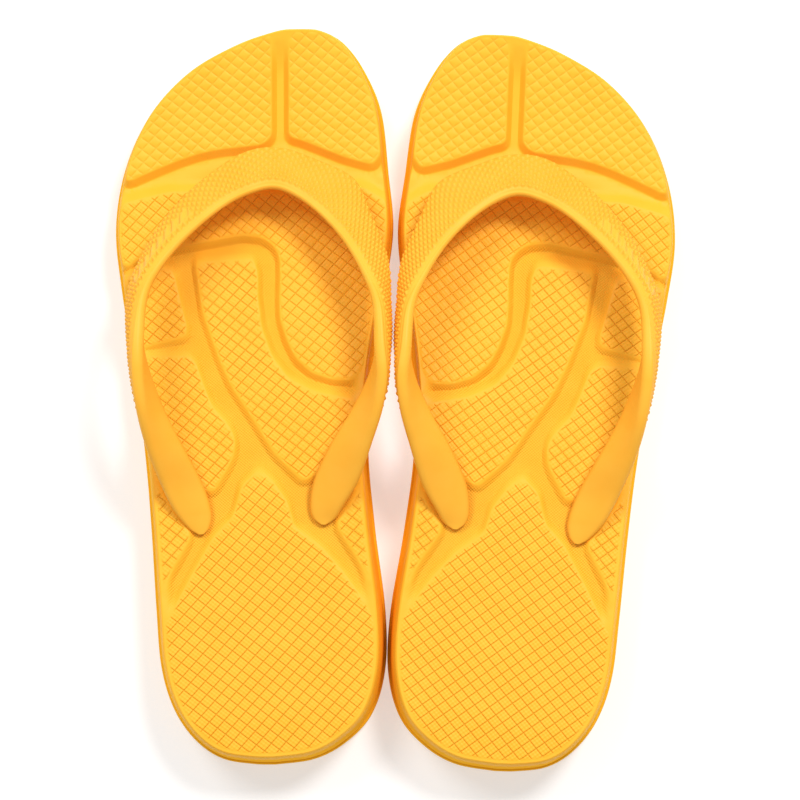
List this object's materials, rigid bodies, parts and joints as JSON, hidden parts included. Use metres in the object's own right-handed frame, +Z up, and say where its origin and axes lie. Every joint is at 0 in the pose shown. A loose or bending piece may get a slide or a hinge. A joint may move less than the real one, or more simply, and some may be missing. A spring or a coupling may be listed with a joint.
{
  "type": "flip flop",
  "caption": "Pair of yellow moulded flip flops with a chunky contoured sole and a scale-textured V strap.",
  "frame": {"origin": "middle of the pair's plan, on the ground that the soles stand on", "axes": "+X from the left shoe to the right shoe, +Y to the toes, +Z up"},
  "size_m": [0.2098, 0.2768, 0.0563],
  "materials": {
    "foam": "satin",
    "outsole": "matte",
    "strap": "satin",
    "discs": "matte"
  },
  "bodies": {
    "left_shoe": {"left_footbed": "foam", "left_outsole": "outsole", "left_strap": "strap", "left_toe_disc": "discs", "left_outer_disc": "discs", "left_inner_disc": "discs"},
    "right_shoe": {"right_footbed": "foam", "right_outsole": "outsole", "right_strap": "strap", "right_toe_disc": "discs", "right_outer_disc": "discs", "right_inner_disc": "discs"}
  },
  "joints": [
    {"name": "right_shoe_slide", "type": "slide", "parent": "left_shoe", "child": "right_shoe", "axis": [1, 0, 0], "range_m": [0, 0.15]}
  ]
}
